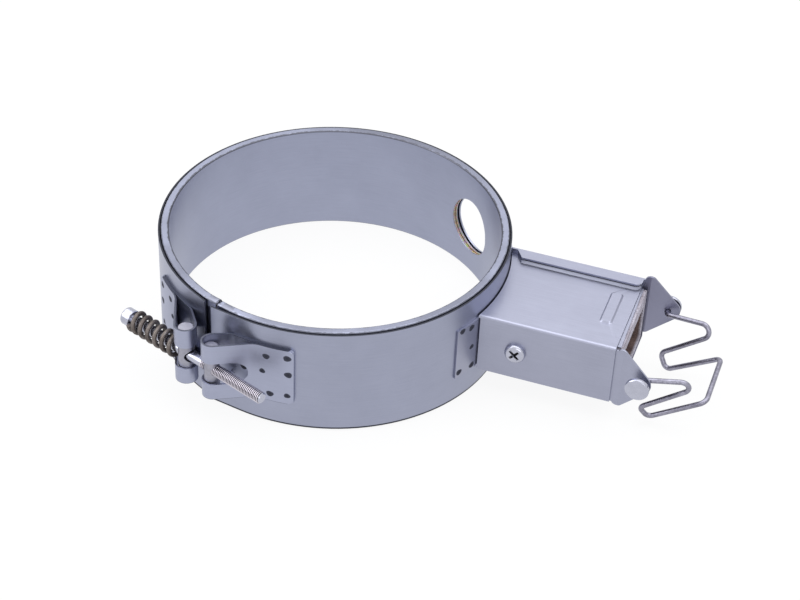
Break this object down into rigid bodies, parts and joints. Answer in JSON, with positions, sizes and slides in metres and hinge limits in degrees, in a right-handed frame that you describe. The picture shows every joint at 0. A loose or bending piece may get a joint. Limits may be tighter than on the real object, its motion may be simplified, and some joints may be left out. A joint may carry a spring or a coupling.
{
  "type": "band heater",
  "caption": "Split mica-insulated band heater with a spring-loaded clamp screw, a round probe hole and a plug box with a ceramic socket and wire bail.",
  "frame": {"origin": "on the axis of the bore at the heater's bottom rim", "axes": "+Z along the bore axis; +X from the bore axis out through the middle of the plug box"},
  "size_m": [0.2426, 0.1668, 0.05],
  "materials": {
    "sheath_steel": "satin",
    "band_steel": "satin",
    "strap_steel": "satin",
    "box_steel": "satin",
    "barrel_steel": "dull, turned",
    "bright_zinc": "bright zinc plate",
    "spring_steel": "dark phosphated wire",
    "wire_steel": "drawn stainless wire",
    "ceramic": "unglazed ceramic",
    "mica": "pressed mica sheet",
    "resistance_ribbon": "oxidised nickel-chrome ribbon",
    "contact_nickel": "nickel-plated brass"
  },
  "bodies": {
    "heater": {"inner_sheath": "sheath_steel", "mica_core": "mica", "heating_element": "resistance_ribbon", "outer_mica": "mica", "backing_sheet": "band_steel", "clamp_band": "band_steel", "spring_side_strap": "strap_steel", "nut_side_strap": "strap_steel", "spring_side_barrel": "barrel_steel", "threaded_barrel": "barrel_steel", "box_base": "box_steel", "box_cover": "box_steel", "cover_screw": "bright_zinc", "cover_nut": "barrel_steel", "socket_block": "ceramic", "near_pin": "contact_nickel", "far_pin": "contact_nickel", "pin_nuts": "contact_nickel", "earth_contact": "contact_nickel", "near_lead": "contact_nickel", "far_lead": "contact_nickel", "lead_bushes": "ceramic"},
    "spring": {"clamp_spring": "spring_steel"},
    "screw": {"clamp_screw": "bright_zinc"},
    "bail": {"bail_wire": "wire_steel", "near_button": "bright_zinc", "far_button": "bright_zinc"}
  },
  "joints": [
    {"name": "screw_feed", "type": "slide", "parent": "heater", "child": "spring", "axis": [0.9336, -0.3584, 0], "range_m": [0, 0.008], "deforming": ["clamp_spring"]},
    {"name": "screw_turn", "type": "hinge", "parent": "spring", "child": "screw", "pos_m": [-0.02967, -0.0773, 0.0262], "axis": [0.9336, -0.3584, 0], "range_deg": [0, 3600]},
    {"name": "bail_swing", "type": "hinge", "parent": "heater", "child": "bail", "pos_m": [0.1405, 0, 0.026], "axis": [0, -1, 0], "range_deg": [-30, 115]}
  ],
  "couplings": [
    {"joint": "screw_turn", "follows": "screw_feed", "rad_per_m": 7854}
  ]
}
